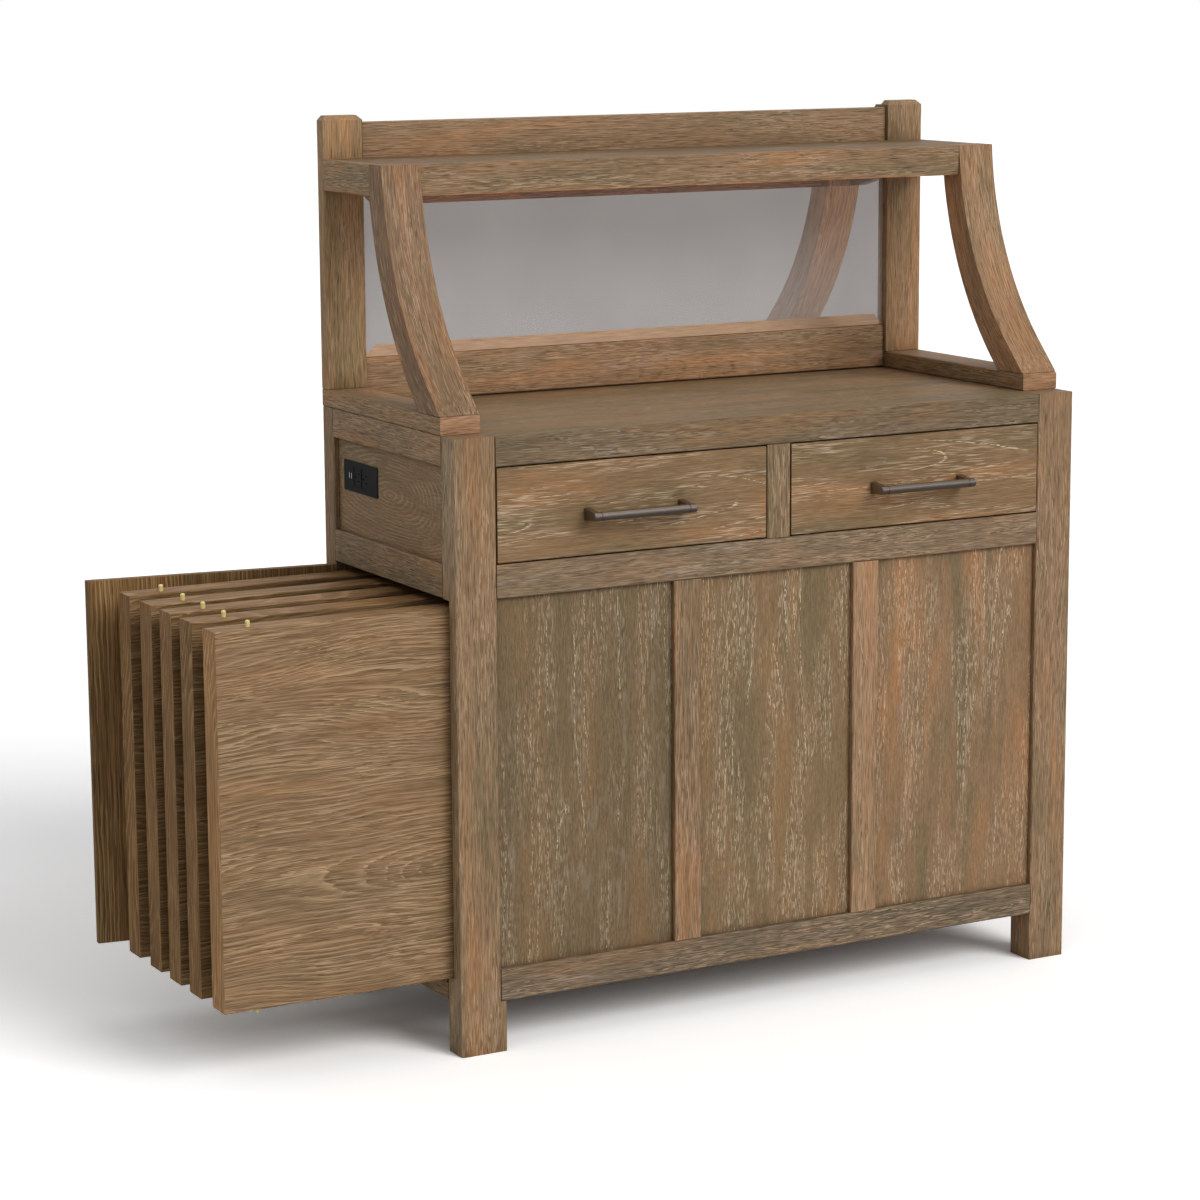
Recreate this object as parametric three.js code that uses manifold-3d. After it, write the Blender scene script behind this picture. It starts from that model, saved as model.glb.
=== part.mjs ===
// Sideboard with an open hutch, two drawers and a bay for five table leaves.
// Millimetres, +Z up. X runs from the leaf bay's end to the closed end, Y from front to back.
// The leaves stand pulled out of the left end and the bay's door stands open.
import * as THREE from 'three';
import Module from 'manifold-3d';
import { mergeVertices } from 'three/addons/utils/BufferGeometryUtils.js';

const wasm = await Module();
wasm.setup();

// Cabinet
const cabinetWidth = 1219;
const cabinetDepth = 510;
const counterHeight = 1030;
const counterThickness = 50;
const postWidth = 74;
const frontPostDepth = 50;
const rearPostDepth = 42;
const legHeight = 87;
const footDepth = 60;
const footLap = 10;
const frontFrameThickness = 27;
const sideFrameThickness = 22;
const bottomRailHeight = 55;
const midRailHeight = 56;
const drawerOpeningHeight = 160;
const drawerStileWidth = 46;
const frontStileWidth = 52;
const frontStileSpacing = 355;
const panelThickness = 8;
const panelSetback = 10;
const panelTongue = 8;
const backPanelThickness = 8;
const backPanelSetback = 6;

// Joinery
const seam = 0.3;
const arris = 1.5;
const postArris = 2;
const overrun = 5;

// Leaf bay: the leaves fill its length and height, and share out its depth by the gaps between them
const leafThickness = 51;
const leafGapShares = [0.28, 0.22, 0.22, 0.28];
const leafFrontClearance = 1;
const leafDoorClearance = 2;
const leafEndClearance = 9;
const leafHeadroom = 1.2;
const leafPull = 425;
const baySillHeight = 43;
const leafPinRadius = 4;
const leafPinLength = 11.5;
const leafPinDome = 2.5;
const leafPinRoot = 12;
const leafPinFromEnd = 64;
const leafPinFromFront = 21;
const pinKerfWidth = 12;
const pinKerfDepth = 13;
const slotPlay = 1;
const trayThickness = 24;
const trayDividerHeight = 22;
const guideLap = 10;
const guideRoofPlay = 2;
const guideBodyThickness = 21;

// Bay door
const doorThickness = 16;
const doorGap = 2;
const doorHingeGap = 1.5;
const doorOpenAngle = 98;
const doorSwingClearance = 1.25;
const hingePinProud = 3;
const hingeLength = 64;
const hingeInset = 90;
const hingePlateThickness = 0.7;
const hingePlateWidth = 18;

// Drawers
const drawerGap = 2;
const drawerFrontThickness = 22;
const drawerBackClearance = 74;
const drawerBoxHeight = 118;
const drawerBoxRise = 12;
const drawerSideClearance = 13;
const drawerWall = 13;
const drawerBottomThickness = 6;
const drawerBottomRise = 10;
const drawerBottomTongue = 6;
const dividerThickness = 20;
const runnerThickness = 16;
const dividerLedge = 36;
const outerRunnerWidth = 59;
const outerRunnerInset = 44;

// Bar pulls
const pullSpacing = 178;
const pullOverhang = 8;
const pullBarRadius = 7.5;
const pullReach = 34;
const pullCapLength = 13;
const pullCapRound = 1.2;
const pullGrooveWidth = 1.6;
const pullGrooveDepth = 0.9;
const pullStemWidth = 11;
const pullStemBaseHeight = 20.5;
const pullStemTipHeight = 14;
const pullStemWaistShare = 0.3;
const pullDrop = 9.7;
const roundSides = 24;

// Power outlet
const outletLength = 132;
const outletHeight = 52;
const outletProud = 2;
const outletCornerRadius = 1.5;
const outletBodyMargin = 8;
const outletBodyDepth = 36;
const outletFromRearPost = 25;
const outletBelowRail = 35;
const receptacleRecess = 1.2;
const usbDepth = 9;
const receptacleWidth = 26;
const receptacleHeight = 34;
const receptacleGap = 4;
const receptacleFromRear = 38;
const usbWidth = 5;
const usbHeight = 12.5;
const usbGap = 3.5;
const usbFromRear = 17;

// Hutch
const hutchRailWidth = 72;
const hutchRailHeight = 30;
const hutchRailSetback = 50;
const hutchPostThickness = 24;
const hutchPostRise = 496;
const hutchPostChamfer = 8;
const hutchCleatWidth = 50;
const hutchCleatThickness = 25;
const hutchCleatDrop = 150;
const hutchBoardThickness = 17;
const hutchTopRailGap = 12;
const hutchTopRailHeight = 121;
const hutchLowerRailHeight = 78;
const hutchLowerRailLift = 2;
const shelfRise = 423;
const shelfRailHeight = 53;
const shelfRailThickness = 22;
const shelfThickness = 22;
const shelfFrontSetback = 257;
const bracketThickness = 54;
const bracketToe = 2;
const bracketTopAngle = 4;
const bracketFootAngle = 45;
const bracketSteps = 20;

// Mirror
const mirrorBevelWidth = 21;
const mirrorBevelDepth = 2.5;
const mirrorEdgeThickness = 3;
const mirrorSetback = 10;
const mirrorPlay = 0.5;
const mirrorBackThickness = 6;

// Finishes
const oak = finish(0x8a7257, 0.72, 0);
const panelOak = finish(0x7d6a50, 0.75, 0);
const leafOak = finish(0x9a8052, 0.6, 0);
const doorOak = finish(0x5c4535, 0.75, 0);
const innerWood = finish(0x6a5238, 0.8, 0);
const birch = finish(0xc9a876, 0.6, 0);
const bronze = finish(0x4a4540, 0.38, 0.9);
const steel = finish(0x77726a, 0.4, 0.9);
const blackPlastic = finish(0x1c1b1a, 0.45, 0);
const mirrorGlass = finish(0xb4b4b2, 0.04, 1);

// Levels and lines that several pieces share
const halfTurn = Math.PI;
const counterUnderside = counterHeight - counterThickness;
const drawerFloor = counterUnderside - drawerOpeningHeight;
const midRailFloor = drawerFloor - midRailHeight;
const bottomRailTop = legHeight + bottomRailHeight;
const bayFloorHeight = legHeight + baySillHeight;
const rearPostFront = cabinetDepth - rearPostDepth;
const rightPostInner = cabinetWidth - postWidth;
const middle = cabinetWidth / 2;
const backPanelFront = cabinetDepth - backPanelSetback - backPanelThickness;
const hutchBase = counterHeight + hutchRailHeight;
const hutchPostFront = cabinetDepth - hutchPostThickness;
const hutchTop = counterHeight + hutchPostRise;
const hutchBoardFront = cabinetDepth - hutchBoardThickness;
const shelfTop = counterHeight + shelfRise;
const shelfRailFloor = shelfTop - shelfRailHeight;
const topRailTop = hutchTop - hutchTopRailGap;
const topRailFloor = topRailTop - hutchTopRailHeight;
const lowerRailFloor = counterHeight + hutchLowerRailLift;
const lowerRailTop = lowerRailFloor + hutchLowerRailHeight;
const runnerTop = drawerFloor + drawerBoxRise;

const dresser = new THREE.Group();

function finish(color, roughness, metalness) {
  return new THREE.MeshStandardMaterial({ color, roughness, metalness });
}

// Puts a geometry drawn in its parent's frame on the scene, with the mesh's own origin at its centre.
function seat(name, geometry, material, parent = dresser) {
  geometry.computeBoundingBox();
  const centre = geometry.boundingBox.getCenter(new THREE.Vector3());
  geometry.translate(-centre.x, -centre.y, -centre.z);
  geometry.computeVertexNormals();
  const mesh = new THREE.Mesh(geometry, material);
  mesh.name = name;
  mesh.position.copy(centre);
  parent.add(mesh);
  return mesh;
}

function outline(points) {
  return new THREE.Shape(points.map(([u, v]) => new THREE.Vector2(u, v)));
}

// Extrusions of an outline: [y, z] along X, [x, z] along Y and [x, y] along Z.
function prismAlongX(points, [low, high]) {
  const body = new THREE.ExtrudeGeometry(outline(points), { depth: high - low, bevelEnabled: false });
  const turn = new THREE.Matrix4().makeBasis(
    new THREE.Vector3(0, 1, 0), new THREE.Vector3(0, 0, 1), new THREE.Vector3(1, 0, 0));
  return body.applyMatrix4(turn).translate(low, 0, 0);
}

function prismAlongY(points, [low, high]) {
  const body = new THREE.ExtrudeGeometry(outline(points), { depth: high - low, bevelEnabled: false });
  const turn = new THREE.Matrix4().makeBasis(
    new THREE.Vector3(1, 0, 0), new THREE.Vector3(0, 0, 1), new THREE.Vector3(0, -1, 0));
  return body.applyMatrix4(turn).translate(0, high, 0);
}

function prismAlongZ(points, [low, high]) {
  const body = new THREE.ExtrudeGeometry(outline(points), { depth: high - low, bevelEnabled: false });
  return body.translate(0, 0, low);
}

// A rectangle drawn in by half a seam on each side, with its arrises taken off.
function easedRectangle([uLow, uHigh], [vLow, vHigh], ease = arris) {
  const u0 = uLow + seam / 2;
  const u1 = uHigh - seam / 2;
  const v0 = vLow + seam / 2;
  const v1 = vHigh - seam / 2;
  return [
    [u0 + ease, v0], [u1 - ease, v0], [u1, v0 + ease], [u1, v1 - ease],
    [u1 - ease, v1], [u0 + ease, v1], [u0, v1 - ease], [u0, v0 + ease],
  ];
}

function shortened([low, high]) {
  return [low + seam / 2, high - seam / 2];
}

// A board with its grain along one axis and eased edges along the grain.
function board({ x, y, z, grain, ease = arris }) {
  if (grain === 'x') return prismAlongX(easedRectangle(y, z, ease), shortened(x));
  if (grain === 'y') return prismAlongY(easedRectangle(x, z, ease), shortened(y));
  return prismAlongZ(easedRectangle(x, y, ease), shortened(z));
}

function block({ x, y, z }) {
  const body = new THREE.BoxGeometry(x[1] - x[0], y[1] - y[0], z[1] - z[0]);
  return body.translate((x[0] + x[1]) / 2, (y[0] + y[1]) / 2, (z[0] + z[1]) / 2);
}

// The room that a neighbour takes, with half a seam all round.
function roomFor({ x, y, z }) {
  const grow = ([low, high]) => [low - seam / 2, high + seam / 2];
  return block({ x: grow(x), y: grow(y), z: grow(z) });
}

function toSolid(geometry) {
  const bare = geometry.clone();
  bare.deleteAttribute('normal');
  bare.deleteAttribute('uv');
  const merged = mergeVertices(bare);
  return new wasm.Manifold(new wasm.Mesh({
    numProp: 3,
    vertProperties: new Float32Array(merged.attributes.position.array),
    triVerts: new Uint32Array(merged.index.array),
  }));
}

function toGeometry(solid) {
  const mesh = solid.getMesh();
  const indexed = new THREE.BufferGeometry();
  indexed.setAttribute('position', new THREE.BufferAttribute(new Float32Array(mesh.vertProperties), 3));
  indexed.setIndex(new THREE.BufferAttribute(new Uint32Array(mesh.triVerts), 1));
  return indexed.toNonIndexed();
}

function carve(geometry, cutters) {
  return toGeometry(cutters.reduce((solid, cutter) => solid.subtract(toSolid(cutter)), toSolid(geometry)));
}

function join(geometries) {
  return toGeometry(geometries.map(toSolid).reduce((whole, piece) => whole.add(piece)));
}

function common(first, second) {
  return toGeometry(toSolid(first).intersect(toSolid(second)));
}

// Boxes of the four posts and of the framed panels, which other pieces fit round
const posts = {
  frontLeft: { x: [0, postWidth], y: [0, frontPostDepth], z: [0, counterHeight] },
  frontRight: { x: [rightPostInner, cabinetWidth], y: [0, frontPostDepth], z: [0, counterHeight] },
  rearLeft: { x: [0, postWidth], y: [rearPostFront, cabinetDepth], z: [0, counterHeight] },
  rearRight: { x: [rightPostInner, cabinetWidth], y: [rearPostFront, cabinetDepth], z: [0, counterHeight] },
};

const stileCentres = [middle - frontStileSpacing / 2, middle + frontStileSpacing / 2];
const stileBoxes = stileCentres.map((centre) => ({
  x: [centre - frontStileWidth / 2, centre + frontStileWidth / 2],
  y: [0, frontFrameThickness],
  z: [bottomRailTop, midRailFloor],
}));

const frontPanelLine = [panelSetback, panelSetback + panelThickness];
const frontPanels = [
  [postWidth, stileBoxes[0].x[0]],
  [stileBoxes[0].x[1], stileBoxes[1].x[0]],
  [stileBoxes[1].x[1], rightPostInner],
].map(([low, high]) => ({
  x: [low - panelTongue, high + panelTongue],
  y: frontPanelLine,
  z: [bottomRailTop - panelTongue, midRailFloor + panelTongue],
}));

const sidePanelY = [frontPostDepth - panelTongue, rearPostFront + panelTongue];
const leftPanelLine = [panelSetback, panelSetback + panelThickness];
const rightPanelLine = [cabinetWidth - panelSetback - panelThickness, cabinetWidth - panelSetback];
const upperPanelZ = [drawerFloor - panelTongue, counterUnderside + panelTongue];
const sidePanels = {
  upperLeft: { x: leftPanelLine, y: sidePanelY, z: upperPanelZ },
  upperRight: { x: rightPanelLine, y: sidePanelY, z: upperPanelZ },
  lowerRight: {
    x: rightPanelLine,
    y: sidePanelY,
    z: [bottomRailTop - panelTongue, midRailFloor + panelTongue],
  },
};

const backPanel = {
  x: [postWidth - panelTongue, rightPostInner + panelTongue],
  y: [backPanelFront, backPanelFront + backPanelThickness],
  z: [legHeight, counterUnderside],
};

// Leaves: front faces from the front of the bay to its back, clear of the door as it swings open
const leafStoredX = doorThickness + leafDoorClearance;
const leafLength = rightPostInner - leafEndClearance - leafStoredX;
const leafFloor = bayFloorHeight + seam;
const leafTop = midRailFloor - leafHeadroom - leafPinLength;
const openDoorFront = rearPostFront - doorHingeGap / 2 - hingePinProud - doorThickness;

function leafFronts() {
  const first = frontFrameThickness + leafFrontClearance;
  const leafCount = leafGapShares.length + 1;
  const gapRoom = openDoorFront - doorSwingClearance - first - leafCount * leafThickness;
  return leafGapShares.reduce(
    (fronts, share) => [...fronts, fronts.at(-1) + leafThickness + share * gapRoom], [first]);
}

const leafFrontLines = leafFronts();
const guideTop = leafTop + guideRoofPlay + guideBodyThickness;

function pinKerf(front, x, z) {
  const centre = front + leafPinFromFront;
  return block({ x, y: [centre - pinKerfWidth / 2, centre + pinKerfWidth / 2], z });
}

function addPosts() {
  const notch = block({
    x: [-overrun, postWidth + overrun],
    y: [frontFrameThickness, frontPostDepth + overrun],
    z: [bayFloorHeight, midRailFloor],
  });
  const upright = (box) => board({ ...box, grain: 'z', ease: postArris });
  const foot = (x) => upright({ x, y: [0, footDepth], z: [0, legHeight] });
  const leftPost = join([
    upright(posts.frontLeft), foot([sideFrameThickness, postWidth + footLap]),
  ]);
  const rightPost = join([
    upright(posts.frontRight), foot([rightPostInner, cabinetWidth - sideFrameThickness]),
  ]);
  seat('post_front_left',
    carve(leftPost, [notch, roomFor(frontPanels[0]), roomFor(sidePanels.upperLeft)]), oak);
  seat('post_front_right',
    carve(rightPost,
      [roomFor(frontPanels[2]), roomFor(sidePanels.upperRight), roomFor(sidePanels.lowerRight)]), oak);
  seat('post_rear_left',
    carve(upright(posts.rearLeft), [roomFor(sidePanels.upperLeft), roomFor(backPanel)]), oak);
  seat('post_rear_right',
    carve(upright(posts.rearRight),
      [roomFor(sidePanels.upperRight), roomFor(sidePanels.lowerRight), roomFor(backPanel)]), oak);
}

function addCounter() {
  const slab = board({
    x: [sideFrameThickness, cabinetWidth - sideFrameThickness],
    y: [0, cabinetDepth],
    z: [counterUnderside, counterHeight],
    grain: 'x',
  });
  seat('counter_top', carve(slab, Object.values(posts).map(roomFor)), oak);
}

function addFrontFrame() {
  const y = [0, frontFrameThickness];
  const x = [postWidth, rightPostInner];
  const panelRooms = frontPanels.map(roomFor);
  seat('front_mid_rail',
    carve(board({ x, y, z: [midRailFloor, drawerFloor], grain: 'x' }), panelRooms), oak);
  seat('front_bottom_rail',
    carve(board({ x, y, z: [legHeight, bottomRailTop], grain: 'x' }), panelRooms), oak);
  seat('drawer_stile', board({
    x: [middle - drawerStileWidth / 2, middle + drawerStileWidth / 2],
    y,
    z: [drawerFloor, counterUnderside],
    grain: 'z',
  }), oak);
  ['front_stile_left', 'front_stile_right'].forEach((name, i) => {
    seat(name, carve(board({ ...stileBoxes[i], grain: 'z' }), panelRooms), oak);
  });
  ['front_panel_left', 'front_panel_middle', 'front_panel_right'].forEach((name, i) => {
    seat(name, block(trimmed(frontPanels[i])), panelOak);
  });
}

// A thin panel floats in its grooves with half a seam on each side.
function trimmed({ x, y, z }) {
  return { x: shortened(x), y: shortened(y), z: shortened(z) };
}

function addLeftEnd() {
  const x = [0, sideFrameThickness];
  const y = [frontPostDepth, rearPostFront];
  const groove = roomFor(sidePanels.upperLeft);
  const topRail = board({ x, y, z: [counterUnderside, counterHeight], grain: 'y' });
  const midRail = board({ x, y, z: [midRailFloor, drawerFloor], grain: 'y' });
  const bottomRail = board({ x, y, z: [legHeight, bayFloorHeight], grain: 'y' });
  const kerfs = leafFrontLines.map((front) =>
    pinKerf(front, [-overrun, sideFrameThickness + overrun],
      [bayFloorHeight - pinKerfDepth, bayFloorHeight + overrun]));
  seat('side_top_rail_left', carve(topRail, [groove]), oak);
  seat('side_mid_rail_left', carve(midRail, [groove]), oak);
  seat('side_bottom_rail_left', carve(bottomRail, kerfs), oak);
  seat('side_upper_panel_left', carve(block(trimmed(sidePanels.upperLeft)), [outletCutout()]), panelOak);
}

function addRightEnd() {
  const x = [cabinetWidth - sideFrameThickness, cabinetWidth];
  const y = [frontPostDepth, rearPostFront];
  const grooves = [roomFor(sidePanels.upperRight), roomFor(sidePanels.lowerRight)];
  const rails = {
    side_top_rail_right: [counterUnderside, counterHeight],
    side_mid_rail_right: [midRailFloor, drawerFloor],
    side_bottom_rail_right: [legHeight, bottomRailTop],
  };
  for (const [name, z] of Object.entries(rails)) {
    seat(name, carve(board({ x, y, z, grain: 'y' }), grooves), oak);
  }
  seat('side_upper_panel_right', block(trimmed(sidePanels.upperRight)), panelOak);
  seat('side_lower_panel_right', block(trimmed(sidePanels.lowerRight)), panelOak);
}

// Outlet: its plate lies on the recessed panel and its body passes through it.
const outletRear = rearPostFront - outletFromRearPost;
const outletPlate = {
  y: [outletRear - outletLength, outletRear],
  z: [counterUnderside - outletBelowRail - outletHeight, counterUnderside - outletBelowRail],
};
const outletBody = {
  x: [panelSetback - outletProud, panelSetback + outletBodyDepth],
  y: [outletPlate.y[0] + outletBodyMargin, outletPlate.y[1] - outletBodyMargin],
  z: [outletPlate.z[0] + outletBodyMargin, outletPlate.z[1] - outletBodyMargin],
};

function outletCutout() {
  return roomFor({ ...outletBody, x: [0, cabinetWidth] });
}

function roundedRectangle([uLow, uHigh], [vLow, vHigh], radius) {
  const corner = (u, v, start) => Array.from({ length: 4 }, (_, i) => {
    const angle = start + (i / 3) * (halfTurn / 2);
    return [u + radius * Math.cos(angle), v + radius * Math.sin(angle)];
  });
  return [
    ...corner(uHigh - radius, vLow + radius, -halfTurn / 2),
    ...corner(uHigh - radius, vHigh - radius, 0),
    ...corner(uLow + radius, vHigh - radius, halfTurn / 2),
    ...corner(uLow + radius, vLow + radius, halfTurn),
  ];
}

function addOutlet() {
  const face = panelSetback - outletProud;
  const plate = prismAlongX(
    roundedRectangle(outletPlate.y, outletPlate.z, outletCornerRadius), [face, panelSetback]);
  const centreZ = (outletPlate.z[0] + outletPlate.z[1]) / 2;
  const pocket = (yLow, width, height, depth) => block({
    x: [face - overrun, face + depth],
    y: [yLow, yLow + width],
    z: [centreZ - height / 2, centreZ + height / 2],
  });
  const receptacleRear = outletPlate.y[1] - receptacleFromRear;
  const usbRear = outletPlate.y[1] - usbFromRear;
  const pockets = [
    ...[receptacleWidth, 2 * receptacleWidth + receptacleGap].map((back) =>
      pocket(receptacleRear - back, receptacleWidth, receptacleHeight, receptacleRecess)),
    ...[usbWidth, 2 * usbWidth + usbGap].map((back) =>
      pocket(usbRear - back, usbWidth, usbHeight, usbDepth)),
  ];
  seat('power_outlet', carve(join([plate, block(outletBody)]), pockets), blackPlastic);
}

function addBack() {
  seat('back_panel', block(trimmed(backPanel)), innerWood);
}

// Floor of the bay: five channels along X with a narrow kerf for the pins under each leaf.
function addLeafTray() {
  const floor = bayFloorHeight - trayThickness;
  const body = block({
    x: shortened([sideFrameThickness, cabinetWidth - sideFrameThickness]),
    y: shortened([frontFrameThickness, backPanelFront]),
    z: [floor, bayFloorHeight + trayDividerHeight],
  });
  const through = [-overrun, cabinetWidth + overrun];
  const channels = leafFrontLines.map((front, i) => block({
    x: through,
    y: [i === 0 ? -overrun : front - slotPlay, front + leafThickness + slotPlay],
    z: [bayFloorHeight, counterHeight],
  }));
  const kerfs = leafFrontLines.map((front) =>
    pinKerf(front, through, [bayFloorHeight - pinKerfDepth, counterHeight]));
  const corners = [
    { ...posts.frontLeft, z: [0, bayFloorHeight] },
    posts.frontRight, posts.rearLeft, posts.rearRight,
  ].map(roomFor);
  const behindLastLeaf = block({
    x: through,
    y: [leafFrontLines.at(-1) + leafThickness + slotPlay + trayDividerHeight, cabinetDepth],
    z: [bayFloorHeight, counterHeight],
  });
  seat('leaf_tray', carve(body, [...channels, ...kerfs, ...corners, behindLastLeaf]), innerWood);
}

// Ceiling of the bay: its grooves keep the leaves upright, and it closes off the drawers.
function addLeafGuide() {
  const body = block({
    x: shortened([postWidth, rightPostInner]),
    y: shortened([frontFrameThickness, backPanelFront]),
    z: [leafTop - guideLap, guideTop],
  });
  const through = [-overrun, cabinetWidth + overrun];
  const grooves = leafFrontLines.map((front, i) => block({
    x: through,
    y: [i === 0 ? -overrun : front - slotPlay, front + leafThickness + slotPlay],
    z: [0, leafTop + guideRoofPlay],
  }));
  const kerfs = leafFrontLines.map((front) => pinKerf(front, through, [0, leafTop + pinKerfDepth]));
  seat('leaf_guide', carve(body, [...grooves, ...kerfs]), innerWood);
}

function addDrawerSupports() {
  const y = shortened([frontFrameThickness, backPanelFront]);
  const divider = block({
    x: [middle - dividerThickness / 2, middle + dividerThickness / 2],
    y,
    z: [guideTop + seam, counterUnderside - seam],
  });
  const ledges = block({
    x: [middle - dividerThickness / 2 - dividerLedge, middle + dividerThickness / 2 + dividerLedge],
    y,
    z: [runnerTop - runnerThickness, runnerTop - seam],
  });
  seat('drawer_divider', join([divider, ledges]), innerWood);
  const runnerY = shortened([frontPostDepth, rearPostFront]);
  const runnerZ = [runnerTop - runnerThickness, runnerTop - seam];
  const inner = outerRunnerInset + outerRunnerWidth;
  seat('drawer_runner_left', block({ x: [outerRunnerInset, inner], y: runnerY, z: runnerZ }), innerWood);
  seat('drawer_runner_right',
    block({ x: [cabinetWidth - inner, cabinetWidth - outerRunnerInset], y: runnerY, z: runnerZ }), innerWood);
}

// A bar pull drawn about the middle of its fixing line, standing out along -Y.
function pullGeometry() {
  const half = pullSpacing / 2 + pullOverhang;
  const cap = half - pullCapLength;
  const neck = pullBarRadius - pullGrooveDepth;
  const side = [
    [pullBarRadius, cap - pullGrooveWidth], [neck, cap - pullGrooveWidth], [neck, cap],
    [pullBarRadius, cap], [pullBarRadius, half - pullCapRound], [pullBarRadius - pullCapRound, half],
  ];
  const mirrored = side.map(([r, s]) => [r, -s]).reverse();
  const profile = [[0, -half], ...mirrored, ...side, [0, half]].map(([r, s]) => new THREE.Vector2(r, s));
  const bar = new THREE.LatheGeometry(profile, roundSides)
    .rotateZ(-halfTurn / 2).translate(0, -pullReach, 0);
  const base = pullStemBaseHeight / 2;
  const tip = pullStemTipHeight / 2;
  const waist = tip + (base - tip) * pullStemWaistShare;
  const edge = new THREE.SplineCurve([
    new THREE.Vector2(-seam, base), new THREE.Vector2(-pullReach / 2, waist),
    new THREE.Vector2(-pullReach, tip),
  ]).getPoints(6).map(({ x, y }) => [x, y]);
  const stemOutline = [...edge, ...edge.map(([y, z]) => [y, -z]).reverse()].reverse();
  const stems = [-pullSpacing / 2, pullSpacing / 2].map((x) =>
    prismAlongX(stemOutline, [x - pullStemWidth / 2, x + pullStemWidth / 2]));
  return join([bar, ...stems]);
}

function addDrawer(side, low, high) {
  const drawer = new THREE.Group();
  dresser.add(drawer);
  const front = {
    x: [low + drawerGap, high - drawerGap],
    y: [0, drawerFrontThickness],
    z: [drawerFloor + drawerGap, counterUnderside - drawerGap],
  };
  const box = {
    x: [low + drawerSideClearance, high - drawerSideClearance],
    y: [drawerFrontThickness, backPanelFront - drawerBackClearance],
    z: [runnerTop, runnerTop + drawerBoxHeight],
  };
  const bottom = {
    x: [box.x[0] + drawerWall - drawerBottomTongue, box.x[1] - drawerWall + drawerBottomTongue],
    y: [box.y[0] + drawerWall - drawerBottomTongue, box.y[1] - drawerWall + drawerBottomTongue],
    z: [box.z[0] + drawerBottomRise, box.z[0] + drawerBottomRise + drawerBottomThickness],
  };
  const hollow = block({
    x: [box.x[0] + drawerWall, box.x[1] - drawerWall],
    y: [box.y[0] + drawerWall, box.y[1] - drawerWall],
    z: [box.z[0] - overrun, box.z[1] + overrun],
  });
  seat(`drawer_front_${side}`, board({ ...front, grain: 'x' }), oak, drawer);
  seat(`drawer_box_${side}`, carve(block(trimmed(box)), [hollow, roomFor(bottom)]), birch, drawer);
  seat(`drawer_bottom_${side}`, block(trimmed(bottom)), birch, drawer);
  const pull = pullGeometry();
  pull.translate((low + high) / 2, 0, (front.z[0] + front.z[1]) / 2 - pullDrop);
  seat(`drawer_pull_${side}`, pull, bronze, drawer);
}

// A domed alignment pin standing up along +Z from a leaf's edge, with its root in the wood.
function leafPin() {
  const dome = [0, 1 / 3, 2 / 3, 1].map((share) => share * (halfTurn / 2)).map((angle) =>
    new THREE.Vector2(leafPinRadius * Math.cos(angle), leafPinLength - leafPinDome * (1 - Math.sin(angle))));
  dome.at(-1).x = 0;
  return new THREE.LatheGeometry([
    new THREE.Vector2(0, -leafPinRoot), new THREE.Vector2(leafPinRadius, -leafPinRoot), ...dome,
  ], roundSides / 2).rotateX(halfTurn / 2);
}

function addLeaves() {
  const leaves = new THREE.Group();
  leaves.position.x = -leafPull;
  dresser.add(leaves);
  const pinLines = [leafStoredX + leafPinFromEnd, leafStoredX + leafLength - leafPinFromEnd];
  leafFrontLines.forEach((front, i) => {
    const slab = prismAlongX(
      easedRectangle([front, front + leafThickness], [leafFloor, leafTop]),
      [leafStoredX, leafStoredX + leafLength]);
    const y = front + leafPinFromFront;
    const pins = pinLines.flatMap((x) => [
      leafPin().translate(x, y, leafTop),
      leafPin().rotateX(halfTurn).translate(x, y, leafFloor),
    ]);
    seat(`table_leaf_${i + 1}`, join([slab, ...pins]), leafOak, leaves);
  });
}

// The door's group stands on the hinge pin and is turned from shut to open.
const hingePinX = -hingePinProud;
const hingePinY = rearPostFront - doorHingeGap / 2;
const doorZ = [bayFloorHeight + doorGap, midRailFloor - doorGap];

function addDoor() {
  const door = new THREE.Group();
  door.position.set(hingePinX, hingePinY, 0);
  door.rotation.z = -THREE.MathUtils.degToRad(doorOpenAngle);
  dresser.add(door);
  const shut = board({
    x: [0, doorThickness],
    y: [frontFrameThickness + doorGap, rearPostFront - doorHingeGap],
    z: doorZ,
    grain: 'z',
  }).translate(-hingePinX, -hingePinY, 0);
  seat('leaf_bay_door', shut, doorOak, door);
}

function addHinges() {
  const centres = { hinge_upper: doorZ[1] - hingeInset, hinge_lower: doorZ[0] + hingeInset };
  const outward = hingePinProud + seam / 2;
  const along = (doorHingeGap + seam) / 2;
  const doorCorner = Math.min(Math.hypot(outward + arris, along), Math.hypot(outward, along + arris));
  const radius = doorCorner - seam;
  for (const [name, z] of Object.entries(centres)) {
    const barrel = new THREE.CylinderGeometry(radius, radius, hingeLength, roundSides / 2)
      .rotateX(halfTurn / 2).translate(hingePinX, hingePinY, z);
    const plate = block({
      x: [hingePinX, hingePinX + hingePlateWidth],
      y: [rearPostFront - seam / 2 - hingePlateThickness, rearPostFront - seam / 2],
      z: [z - hingeLength / 2, z + hingeLength / 2],
    });
    seat(name, join([barrel, plate]), steel);
  }
}

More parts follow.
